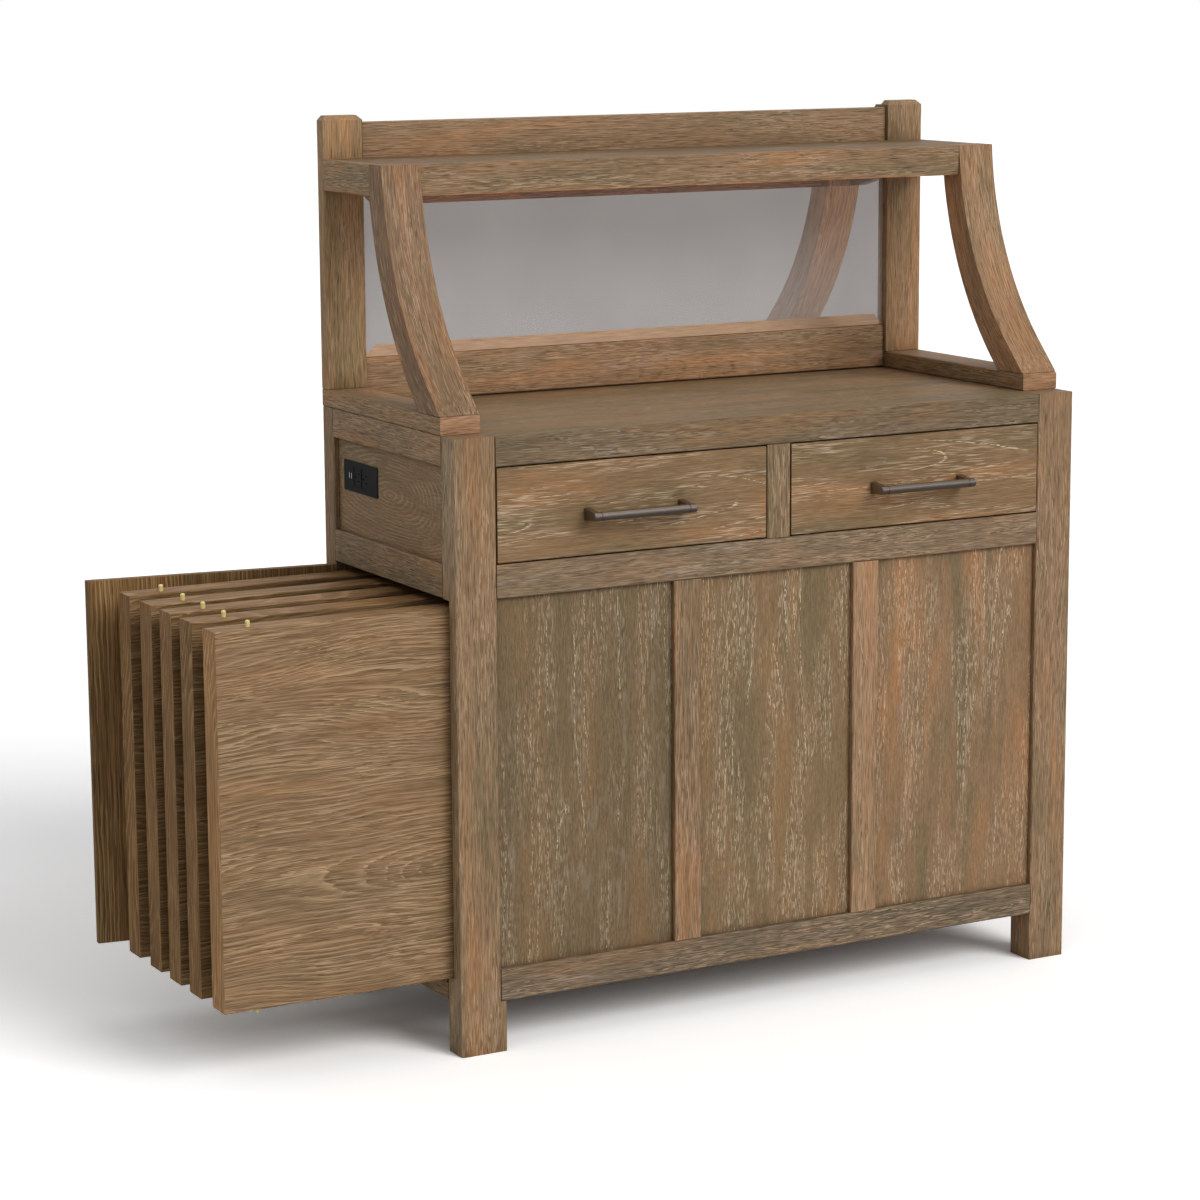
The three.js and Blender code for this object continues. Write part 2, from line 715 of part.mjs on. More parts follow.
function addHutchPosts() {
  const levels = [hutchBase, hutchTop];
  for (const [name, low, cleatLow] of [
    ['hutch_post_left', 0, postWidth - hutchCleatWidth],
    ['hutch_post_right', rightPostInner, rightPostInner],
  ]) {
    const high = low + postWidth;
    const rear = cabinetDepth;
    const across = prismAlongY([
      [low + seam / 2, levels[0] + seam], [high - seam / 2, levels[0] + seam],
      [high - seam / 2, levels[1] - hutchPostChamfer], [high - hutchPostChamfer, levels[1]],
      [low + hutchPostChamfer, levels[1]], [low + seam / 2, levels[1] - hutchPostChamfer],
    ], [hutchPostFront, rear + overrun]);
    const along = prismAlongX([
      [hutchPostFront, levels[0]], [rear + seam, levels[0]],
      [rear + seam, levels[1]], [hutchPostFront + hutchPostChamfer, levels[1]],
      [hutchPostFront, levels[1] - hutchPostChamfer],
    ], [low - overrun, high + overrun]);
    const cleatRear = rear + hutchCleatThickness;
    const cleatTop = levels[1] - hutchPostChamfer;
    const cleat = prismAlongX([
      [rear + seam, counterHeight - hutchCleatDrop], [cleatRear, counterHeight - hutchCleatDrop],
      [cleatRear, cleatTop - hutchPostChamfer], [cleatRear - hutchPostChamfer, cleatTop],
      [rear + seam, cleatTop],
    ], [cleatLow + seam, cleatLow + hutchCleatWidth - seam]);
    seat(name, join([common(across, along), cleat]), oak);
  }
}

// Side view of a bracket: an arc from the shelf's front that runs out straight at the foot.
function bracketOutline() {
  const top = THREE.MathUtils.degToRad(bracketTopAngle);
  const foot = THREE.MathUtils.degToRad(bracketFootAngle);
  const rise = shelfTop - hutchBase;
  const sweep = shelfFrontSetback - hutchRailSetback - bracketToe;
  const sine = Math.sin(foot) - Math.sin(top);
  const cosine = Math.cos(top) - Math.cos(foot);
  const straight = Math.tan(foot);
  const radius = (rise * straight - sweep) / (sine * straight - cosine);
  const centreY = shelfFrontSetback - radius * Math.cos(top);
  const centreZ = shelfTop + radius * Math.sin(top);
  const arc = (r, from, to) => Array.from({ length: bracketSteps + 1 }, (_, i) => {
    const angle = from + (to - from) * (i / bracketSteps);
    return [centreY + r * Math.cos(angle), centreZ - r * Math.sin(angle)];
  });
  const floor = hutchBase + seam;
  const rearRadius = radius + bracketThickness;
  const railAngle = Math.asin((centreZ - shelfRailFloor) / rearRadius);
  const front = arc(radius, top, foot);
  const rear = arc(rearRadius, foot, railAngle);
  const runOut = (point) => [point[0] - (point[1] - floor) * straight, floor];
  return [
    ...front, runOut(front.at(-1)), runOut(rear[0]), ...rear, [rear.at(-1)[0], shelfTop],
  ];
}

const bracketRear = Math.max(...bracketOutline().filter(([, z]) => z >= shelfRailFloor).map(([y]) => y));

function addHutchSides() {
  const sides = {
    left: { outer: [0, hutchRailWidth], rail: [0, shelfRailThickness] },
    right: {
      outer: [cabinetWidth - hutchRailWidth, cabinetWidth],
      rail: [cabinetWidth - shelfRailThickness, cabinetWidth],
    },
  };
  for (const [side, { outer, rail }] of Object.entries(sides)) {
    seat(`hutch_base_rail_${side}`, board({
      x: outer, y: [hutchRailSetback, cabinetDepth], z: [counterHeight, hutchBase], grain: 'y',
    }), oak);
    seat(`hutch_bracket_${side}`, prismAlongX(bracketOutline(), shortened(outer)), oak);
    seat(`shelf_side_rail_${side}`, board({
      x: rail, y: [bracketRear, hutchPostFront], z: [shelfRailFloor, shelfTop], grain: 'y',
    }), oak);
  }
}

function addHutchRails() {
  const x = [postWidth, rightPostInner];
  const y = [hutchBoardFront, cabinetDepth];
  seat('hutch_top_rail', board({ x, y, z: [topRailFloor, topRailTop], grain: 'x' }), oak);
  seat('hutch_lower_rail', board({ x, y, z: [lowerRailFloor, lowerRailTop], grain: 'x' }), oak);
  seat('shelf_front_rail', board({
    x: [hutchRailWidth, cabinetWidth - hutchRailWidth],
    y: [shelfFrontSetback, shelfFrontSetback + shelfRailThickness],
    z: [shelfRailFloor, shelfTop],
    grain: 'x',
  }), oak);
}

function addShelf() {
  const z = [shelfTop - shelfThickness, shelfTop];
  const slab = board({
    x: [shelfRailThickness, cabinetWidth - shelfRailThickness],
    y: [shelfFrontSetback + shelfRailThickness, hutchBoardFront],
    z,
    grain: 'x',
    ease: seam,
  });
  const corners = [
    { x: [0, hutchRailWidth], y: [0, bracketRear], z },
    { x: [cabinetWidth - hutchRailWidth, cabinetWidth], y: [0, bracketRear], z },
    { x: [0, postWidth], y: [hutchPostFront, cabinetDepth], z },
    { x: [rightPostInner, cabinetWidth], y: [hutchPostFront, cabinetDepth], z },
  ];
  seat('hutch_shelf', carve(slab, corners.map(roomFor)), oak);
}

function addMirror() {
  const low = lowerRailTop + mirrorPlay;
  const high = topRailFloor - mirrorPlay;
  const left = postWidth + mirrorPlay;
  const right = rightPostInner - mirrorPlay;
  const flat = outline([
    [left + mirrorBevelWidth, low + mirrorBevelWidth], [right - mirrorBevelWidth, low + mirrorBevelWidth],
    [right - mirrorBevelWidth, high - mirrorBevelWidth], [left + mirrorBevelWidth, high - mirrorBevelWidth],
  ]);
  const blank = new THREE.ExtrudeGeometry(flat, {
    depth: mirrorEdgeThickness,
    bevelThickness: mirrorBevelDepth,
    bevelSize: mirrorBevelWidth,
    bevelSegments: 1,
  });
  const face = hutchPostFront + mirrorSetback;
  const rear = face + mirrorBevelDepth + mirrorEdgeThickness;
  const turn = new THREE.Matrix4().makeBasis(
    new THREE.Vector3(1, 0, 0), new THREE.Vector3(0, 0, 1), new THREE.Vector3(0, -1, 0));
  blank.applyMatrix4(turn).translate(0, rear, 0);
  const behind = block({
    x: [-overrun, cabinetWidth + overrun], y: [rear, rear + cabinetDepth], z: [0, hutchTop],
  });
  seat('mirror', carve(blank, [behind]), mirrorGlass);
  seat('mirror_back', block(trimmed({
    x: [postWidth, rightPostInner],
    y: [rear + seam / 2, rear + mirrorBackThickness],
    z: [lowerRailTop, topRailFloor],
  })), innerWood);
}

addPosts();
addCounter();
addFrontFrame();
addLeftEnd();
addRightEnd();
addOutlet();
addBack();
addLeafTray();
addLeafGuide();
addDrawerSupports();
addDrawer('left', postWidth, middle - drawerStileWidth / 2);
addDrawer('right', middle + drawerStileWidth / 2, rightPostInner);
addLeaves();
addDoor();
addHinges();
addHutchPosts();
addHutchSides();
addHutchRails();
addShelf();
addMirror();

// The origin is on the floor, under the middle of everything as it stands at rest.
dresser.updateMatrixWorld(true);
const extent = new THREE.Box3().setFromObject(dresser, true);
const standing = extent.getCenter(new THREE.Vector3());
dresser.position.set(-standing.x, -standing.y, -extent.min.z);

export default dresser;
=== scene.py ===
# Sideboard with an open hutch, its drawers and its table leaves: looks, light and camera.
# The frame is in metres. Its X runs from the leaf bay's end to the closed end, Y from front to
# back and Z up. Colours as (r, g, b) from 0 to 255 are screen colours.
import math

import bmesh
import bpy
from mathutils import Matrix, Vector


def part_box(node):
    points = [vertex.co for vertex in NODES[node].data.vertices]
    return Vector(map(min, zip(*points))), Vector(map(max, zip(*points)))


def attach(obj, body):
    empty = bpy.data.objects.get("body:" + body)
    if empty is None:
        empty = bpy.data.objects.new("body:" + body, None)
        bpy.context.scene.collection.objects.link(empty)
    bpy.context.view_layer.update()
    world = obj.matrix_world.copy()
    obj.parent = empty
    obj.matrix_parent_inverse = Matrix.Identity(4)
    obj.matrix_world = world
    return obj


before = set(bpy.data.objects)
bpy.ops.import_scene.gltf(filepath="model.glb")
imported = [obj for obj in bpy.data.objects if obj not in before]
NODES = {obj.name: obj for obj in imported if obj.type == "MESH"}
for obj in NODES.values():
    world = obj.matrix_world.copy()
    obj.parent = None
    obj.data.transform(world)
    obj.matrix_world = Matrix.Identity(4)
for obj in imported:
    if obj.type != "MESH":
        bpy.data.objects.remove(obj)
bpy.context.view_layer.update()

# each board stands this far inside the faces that it is drawn to
SEAM = 0.00015
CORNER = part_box("post_front_left")[0] - Vector((SEAM, SEAM, SEAM))

UP, DOWN = (0, 0, 1), (0, 0, -1)
FRONT, REAR, LEFT = (0, -1, 0), (0, 1, 0), (-1, 0, 0)
# the way that the brackets' hollow face looks on average, which gets painted light
HOLLOW = (0, 0.92, -0.39)
# a face counts as turned one way where its normal's cosine with that way is above this
TURNED = 0.7
WHITE = (1, 1, 1, 1)


def at(x, y, z):
    """A point given in millimetres from the cabinet's front left corner on the floor."""
    return CORNER + Vector((x, y, z)) * 0.001


def linear(r, g, b):
    """The linear light of a screen colour."""
    def one(c):
        c /= 255
        return c / 12.92 if c <= 0.04045 else ((c + 0.055) / 1.055) ** 2.4

    return (one(r), one(g), one(b), 1.0)


# ---------------------------------------------------------------- camera
# millimetres from the front left corner, and degrees
EYE = (-2387, -4834, 1760)
AZIMUTH, ELEVATION, ROLL = -28.74, 10.43, -0.34
# millimetres, and metres
FILM_WIDTH, FOCAL_LENGTH = 36, 102.06
FAR_CLIP = 200


def add_camera():
    azimuth, elevation, roll = (math.radians(turn) for turn in (AZIMUTH, ELEVATION, ROLL))
    back = Vector((
        math.sin(azimuth) * math.cos(elevation),
        -math.cos(azimuth) * math.cos(elevation),
        math.sin(elevation),
    ))
    right = (-back).cross(Vector(UP)).normalized()
    up = right.cross(-back).normalized()
    right_rolled = math.cos(roll) * right + math.sin(roll) * up
    up_rolled = -math.sin(roll) * right + math.cos(roll) * up
    data = bpy.data.cameras.new("camera")
    data.sensor_width = FILM_WIDTH
    data.lens = FOCAL_LENGTH
    data.clip_end = FAR_CLIP
    camera = bpy.data.objects.new("camera", data)
    turn = Matrix((right_rolled, up_rolled, back)).transposed().to_4x4()
    camera.matrix_world = Matrix.Translation(at(*EYE)) @ turn
    bpy.context.scene.collection.objects.link(camera)
    bpy.context.scene.camera = camera


# ---------------------------------------------------------------- node helpers
class Tree:
    """Adds nodes to a tree and links what it is given."""

    def __init__(self, tree):
        self.tree = tree

    def put(self, socket, value):
        """Links an input or sets it, and leaves it as it is for None."""
        if isinstance(value, bpy.types.NodeSocket):
            self.tree.links.new(value, socket)
        elif value is not None:
            socket.default_value = value

    def node(self, kind, *values, out=0, **settings):
        """A new node's output. values fill its inputs in order, and inputs fills them by name."""
        made = self.tree.nodes.new("ShaderNode" + kind)
        named = settings.pop("inputs", {})
        for key, value in settings.items():
            setattr(made, key, value)
        for socket, value in zip(made.inputs, values):
            self.put(socket, value)
        for key, value in named.items():
            self.put(made.inputs[key], value)
        return made.outputs[out] if made.outputs else made

    def math(self, operation, *values, clamp=False):
        return self.node("Math", *values, operation=operation, use_clamp=clamp)

    def vector(self, operation, *values, out=0):
        return self.node("VectorMath", *values, operation=operation, out=out)

    def split(self, vector):
        return self.node("SeparateXYZ", vector).node.outputs

    def join(self, x, y, z):
        return self.node("CombineXYZ", x, y, z)

    def grey(self, value):
        return self.join(value, value, value)

    def place(self):
        """Where a point is in its object, which is its place in the frame at rest."""
        return self.node("TexCoord", out=3)

    def normal(self):
        return self.node("NewGeometry", out=1)

    def noise(self, place, scale, detail=2.0, rough=0.5, distortion=0.0, out=0):
        scaled = self.vector("MULTIPLY", place, scale)
        return self.node("TexNoise", out=out, inputs={
            "Vector": scaled, "Scale": 1.0, "Detail": detail, "Roughness": rough,
            "Distortion": distortion,
        })

    def remap(self, value, low, high, to_low=0.0, to_high=1.0):
        return self.node("MapRange", value, low, high, to_low, to_high,
                         interpolation_type="SMOOTHSTEP", clamp=True)

    def mix(self, share, first, second, mode="MIX", kind="RGBA"):
        made = self.tree.nodes.new("ShaderNodeMix")
        made.data_type = kind
        made.blend_type = mode
        # each kind has two inputs of its own and one output, in this order
        start = {"FLOAT": 2, "VECTOR": 4, "RGBA": 6}[kind]
        for index, value in ((0, share), (start, first), (start + 1, second)):
            self.put(made.inputs[index], value)
        return made.outputs[start // 2 - 1]

    def seen(self):
        """1 where the camera looks straight, by a reflection or through glass, and else 0."""
        rays = self.node("LightPath").node.outputs
        return self.math("MAXIMUM", rays["Is Camera Ray"],
                         self.math("MAXIMUM", rays["Is Glossy Ray"], rays["Is Transmission Ray"]))

    def principled(self, colour, rough, metal, normal, level, ior=1.5):
        shader = self.node("BsdfPrincipled", inputs={
            "Base Color": colour, "Roughness": rough, "Metallic": metal, "Normal": normal,
            "IOR": ior, "Specular IOR Level": level,
        })
        self.node("OutputMaterial", shader)


def new_material(name):
    """An empty material and its tree."""
    material = bpy.data.materials.new(name)
    material.use_nodes = True
    material.node_tree.nodes.clear()
    return material, Tree(material.node_tree)


def new_group(name, inputs, outputs):
    """An empty node group: its tree, its inputs by name and its output node."""
    tree = bpy.data.node_groups.new(name, "ShaderNodeTree")
    for in_out, sockets in (("INPUT", inputs), ("OUTPUT", outputs)):
        for label, kind in sockets:
            tree.interface.new_socket(name=label, in_out=in_out, socket_type="NodeSocket" + kind)
    entry = tree.nodes.new("NodeGroupInput")
    leave = tree.nodes.new("NodeGroupOutput")
    return Tree(tree), {s.name: s for s in entry.outputs}, leave


# ---------------------------------------------------------------- oak's pattern
# what a board can set in the pattern, and what it has when it sets nothing
PATTERN = dict(
    greyness=0.35,  # strength of the grey smears
    pores=1.0,  # strength of the filled pores
    lines=1.0,  # strength of the brushed lines
    figure=0.0,  # strength of the ring lines
    spacing=0.0075,  # width of a growth ring
    slope=0.06,  # how much the heart tilts along the board
    wander=0.06,  # how far the heart strays
    wobble=1.0,  # how uneven the rings are
    thin=1.0,  # how narrow the rings' rows of pores are
    length=1.0,  # how short the strokes are
    threads=0.06,  # how many loose pale threads there are outside the patches
)
# shares of the tone's red, green and blue in each stain, and how contrast moves them
STAINS = dict(
    Dark=((0.97, 0.98, 0.96), (-0.1, -0.06, -0.06)),
    Mid=((0.98, 0.98, 0.96), (0.0, 0.0, 0.0)),
    Warm=((0.98, 0.98, 0.95), (0.12, 0.05, 0.0)),
    Grey=((1.06, 1.12, 1.24), (0.0, 0.0, 0.0)),
)

# each noise's cells per metre along the grain and twice across it, and its detail; some have a
# roughness and a distortion of their own too
NOISES = dict(
    wander=((2.2, 6, 6), 1.0),
    wobble=((14, 50, 50), 2.0),
    dash=((70, 620, 620), 0.0),
    thread=((30, 680, 680), 0.0),
    streak=((40, 820, 820), 1.0, 0.6),
    fleck=((14, 520, 520), 1.0, 0.6),
    patch=((4, 22, 22), 2.0),
    gate=((12, 50, 50), 2.0),
    cloud=((2.6, 13, 13), 2.0, 0.55, 0.5),
    smear=((9, 34, 34), 2.0, 0.6, 1.2),
)
NOISE_MEAN = 0.5
# the span of a noise over which its marks come in
COMES_IN = dict(dash=(0.50, 0.58), thread=(0.57, 0.66), patch=(0.42, 0.58), gate=(0.36, 0.62),
                smear=(0.56, 0.68))
# the spans of the clouds over which dark stain turns to mid, and mid to warm
TO_MID, TO_WARM = (0.3, 0.52), (0.5, 0.7)

# how far the wobble shifts the rings, and the strokes along them
RING_SHIFT, STROKE_SHIFT = (0, 0.007, 0.007), (0, 0.004, 0.004)
# the share of the heart's wander that the strokes follow
STROKE_WANDER = (0, 0.25, 0.25)
# the spans of a ring, in metres outward, over which its row of pores comes in and goes
ROW_COMES, ROW_GOES = (0.0, 0.0004), (0.001, 0.0024)
# the spans, as shares of a ring, over which its line comes in and goes and late wood comes in
LINE_COMES, LINE_GOES, LATE_COMES = (0.0, 0.1), (0.18, 0.5), (0.45, 1.0)
# the shares of the surface that the rows of pores and the late wood take
ROW_SHARE, LATE_SHARE = 0.12, 0.3

# how full a row's dashes are outside the patches, and what a patch adds to them and to threads
CROWD, PATCH_CROWD, PATCH_THREADS = 0.15, 0.85, 0.35
# how far filler hides the stain
FILLER_COVER = 0.8
# how much each part adds to the tone, to the height of the surface and to its roughness
TONE = dict(streak=1.1, fleck=0.85, row=-0.14, late=-0.22)
HEIGHT = dict(streak=0.9, filled=-0.3, row=-0.12)
ROUGH = dict(wood=0.56, streak=0.25, filled=0.1)


def drift(t, place, name, strength):
    """A noise in three directions that swings round 0."""
    noise = t.noise(place, *NOISES[name], out=1)
    return t.vector("SCALE", t.vector("SUBTRACT", noise, (NOISE_MEAN,) * 3), None, None, strength)


def swing(t, place, name):
    """A noise that swings round 0."""
    return t.math("SUBTRACT", t.noise(place, *NOISES[name]), NOISE_MEAN)


def marks(t, place, name):
    """1 in a noise's marks and 0 between them."""
    return t.remap(t.noise(place, *NOISES[name]), *COMES_IN[name])


def band(t, value, comes, goes):
    """1 between the span where a value comes in and the one where it goes, and 0 outside."""
    return t.math("MULTIPLY", t.remap(value, *comes), t.remap(value, *goes, 1.0, 0.0))


def growth(t, i, wander, wobble):
    """Growth rings round a heart that wanders and tilts along the board.

    Gives how far a point is through its ring, from 0 to 1, and the rings' rows of pores.
    """
    bend = t.vector("ADD", wander, t.vector("MULTIPLY", wobble, RING_SHIFT))
    u, v, w = t.split(t.vector("ADD", i["P"], bend))
    tilted = t.math("MULTIPLY_ADD", u, i["Slope"], w)
    squares = t.math("ADD", t.math("MULTIPLY", v, v), t.math("MULTIPLY", tilted, tilted))
    ring = t.math("FRACT", t.math("DIVIDE", t.math("SQRT", squares), i["Spacing"]))
    outward = t.math("MULTIPLY", t.math("MULTIPLY", ring, i["Spacing"]), i["Thin"])
    return ring, band(t, outward, ROW_COMES, ROW_GOES)


def along_grain(t, i, wander, wobble):
    """The place for strokes, which follow the wobble and some of the wander."""
    near = t.vector("ADD", i["P"], t.vector("MULTIPLY", wobble, STROKE_SHIFT))
    near = t.vector("ADD", near, t.vector("MULTIPLY", wander, STROKE_WANDER))
    stretched = t.vector("MULTIPLY", near, t.join(i["Length"], 1.0, 1.0))
    return t.vector("ADD", stretched, i["Seed"])


def filler_in(t, i, spot, flow, ring, row):
    """Where the pale filler is: in rows of pores, loose threads and ring lines."""
    patch = marks(t, spot, "patch")
    crowd = t.math("MULTIPLY", row, t.math("MULTIPLY_ADD", patch, PATCH_CROWD, CROWD))
    threads = t.math("MULTIPLY_ADD", patch, PATCH_THREADS, i["Threads"])
    filled = t.math("MAXIMUM", t.math("MULTIPLY", marks(t, flow, "dash"), crowd),
                    t.math("MULTIPLY", marks(t, flow, "thread"), threads))
    filled = t.math("MULTIPLY", filled, i["Pores"], clamp=True)
    line = t.math("MULTIPLY", band(t, ring, LINE_COMES, LINE_GOES), marks(t, flow, "gate"))
    return t.math("MAXIMUM", filled, t.math("MULTIPLY", line, i["Figure"]))


def stained(t, i, spot):
    """Clouds of stain stretched along the grain, and grey smears."""
    clouds = t.noise(spot, *NOISES["cloud"])
    stain = t.mix(t.remap(clouds, *TO_MID), i["Dark"], i["Mid"])
    stain = t.mix(t.remap(clouds, *TO_WARM), stain, i["Warm"])
    smears = t.math("MULTIPLY", marks(t, spot, "smear"), i["Greyness"])
    return t.mix(smears, stain, i["Grey"])


def make_oak_group():
    """Wire-brushed oak with pale filler in its pores.

    P is the place in the board, with u along the grain and the tree's heart at v = w = 0.
    """
    inputs = [("P", "Vector"), ("Seed", "Vector"), ("Pore", "Color")]
    inputs += [(stain, "Color") for stain in STAINS]
    inputs += [(key.capitalize(), "Float") for key in PATTERN]
    t, i, leave = new_group("oak", inputs, [
        ("Color", "Color"), ("Height", "Float"), ("Roughness", "Float"),
    ])
    spot = t.vector("ADD", i["P"], i["Seed"])
    wander = drift(t, spot, "wander", i["Wander"])
    wobble = drift(t, spot, "wobble", i["Wobble"])
    ring, row = growth(t, i, wander, wobble)
    flow = along_grain(t, i, wander, wobble)
    filled = filler_in(t, i, spot, flow, ring, row)
    streak, fleck = swing(t, flow, "streak"), swing(t, flow, "fleck")

    tone = t.math("MULTIPLY_ADD", streak, TONE["streak"],
                  t.math("MULTIPLY", fleck, TONE["fleck"]))
    more_row = t.math("SUBTRACT", row, ROW_SHARE)
    tone = t.math("ADD", tone, t.math("MULTIPLY", more_row, TONE["row"]))
    tone = t.math("MULTIPLY_ADD", tone, i["Lines"], 1.0)
    more_late = t.math("SUBTRACT", t.remap(ring, *LATE_COMES), LATE_SHARE)
    tone = t.math("MULTIPLY_ADD", more_late,
                  t.math("MULTIPLY", i["Figure"], TONE["late"]), tone)
    colour = t.mix(1.0, stained(t, i, spot), t.grey(tone), "MULTIPLY")
    colour = t.mix(t.math("MULTIPLY", filled, FILLER_COVER), colour, i["Pore"])

    height = t.math("MULTIPLY_ADD", streak, HEIGHT["streak"],
                    t.math("MULTIPLY", filled, HEIGHT["filled"]))
    height = t.math("ADD", height, t.math("MULTIPLY", row, HEIGHT["row"]))
    rough = t.math("MULTIPLY_ADD", streak, ROUGH["streak"],
                   t.math("MULTIPLY_ADD", filled, ROUGH["filled"], ROUGH["wood"]))
    for socket, value in zip(leave.inputs, (colour, height, rough)):
        t.put(socket, value)
    return t.tree


# ---------------------------------------------------------------- a board of oak
OAK = make_oak_group()
OAK_IOR, OAK_LEVEL = 1.45, 0.22
FILLER = (216, 196, 168)
# for each axis of the grain, the axes along it, across it and out of the show face
ORDER = {"x": "xzy", "y": "yzx", "z": "zxy"}
# shares that make a tone render as it is written
TONE_SHARES = (0.955, 0.945, 0.92)
# each board's place in the noise: the steps from board to board, and where they start again
SEED_STEPS = ((3.1, 17), (5.7, 13), (7.3, 11))
# how far a board's pattern shifts along its grain at most
GRAIN_SHIFT = 0.1
# for boards that give no offset: its step from board to board, and the span that it fills
OFFSET_STEP, OFFSET_SPAN = 0.37, 1.1
# powers for red, green and blue, so that the painted shade in a corner keeps more red than blue
PAINTED_SHADE_POWERS = (0.85, 1.0, 1.25)
# open faces read a little under 1 in the painted corner shade, and this lifts them back
PAINTED_SHADE_LIFT = 0.02
PAINTED_SHADE_SAMPLES, EDGE_SAMPLES = 6, 4
EASED_EDGE = 0.0012
BRUSHED_DEPTH, BRUSHED_STRENGTH = 0.0008, 0.4
PIN_BRASS, PIN_ROUGH, PIN_METAL = linear(240, 222, 150), 0.32, 0.4
# how many boards are made, which sets the next one's place in the noise
count = 0


def stain_colour(tone, shares, moves, contrast):
    parts = zip(tone, shares, moves, TONE_SHARES)
    return linear(*(c * (share + move * contrast) * k for c, share, move, k in parts))


def round_bend(t, here, low, high, centre, radius):
    """The place in a board that was bent round a centre, as if it were still straight."""
    x, y, z = t.split(here)
    dy, dz = t.math("SUBTRACT", y, centre.y), t.math("SUBTRACT", centre.z, z)
    squares = t.math("MULTIPLY_ADD", dy, dy, t.math("MULTIPLY", dz, dz))
    out = t.math("SUBTRACT", t.math("SQRT", squares), radius)
    along = t.math("MULTIPLY", t.math("ARCTAN2", dz, dy), -radius)
    return t.join(x, t.math("ADD", out, (low.y + high.y) / 2), t.math("ADD", along, high.z))


def with_veneer(t, here, order, ends):
    """The place in a board whose end faces wear a veneer with its own grain."""
    axis, along = ends
    side = t.split(t.normal())["xyz".index(axis)]
    parts = dict(zip("xyz", t.split(here)))
    cross = next(letter for letter in "xyz" if letter not in ends)
    turned = dict(zip(order, (parts[along], parts[cross], parts[axis])))
    mask = t.math("GREATER_THAN", t.math("ABSOLUTE", side), TURNED)
    return t.mix(mask, here, t.join(*(turned[letter] for letter in "xyz")), kind="VECTOR")


def from_heart(t, placed, low, high, order, heart, across):
    """The place from the board's heart: along the grain, across it and inward.

    heart is its place from the middle: along, across as a share of the width, and how deep.
    """
    xyz = t.split(placed)
    picked = ["xyz".index(axis) for axis in order]
    middle = [(low[axis] + high[axis]) / 2 for axis in picked]
    width = high[picked[1]] - low[picked[1]]
    along, offset, depth = heart
    shift = (-middle[0] + along, -middle[1] + offset * width, -middle[2] + depth)
    centred = t.vector("ADD", t.join(*(xyz[axis] for axis in picked)), shift)
    return t.vector("MULTIPLY", centred, (1.0, across, across))


def painted_corner_shade(t, colour, nook, reach):
    """A colour darkened by painted shade in corners and between parts that stand close."""
    air = t.node("AmbientOcclusion", inputs={"Distance": reach}, samples=PAINTED_SHADE_SAMPLES,
                 only_local=False)
    air = t.math("MULTIPLY_ADD", t.node("SeparateColor", air), nook + PAINTED_SHADE_LIFT, 1 - nook,
                 clamp=True)
    shade = t.join(*(t.math("POWER", air, power) for power in PAINTED_SHADE_POWERS))
    return t.mix(1.0, colour, shade, "MULTIPLY")


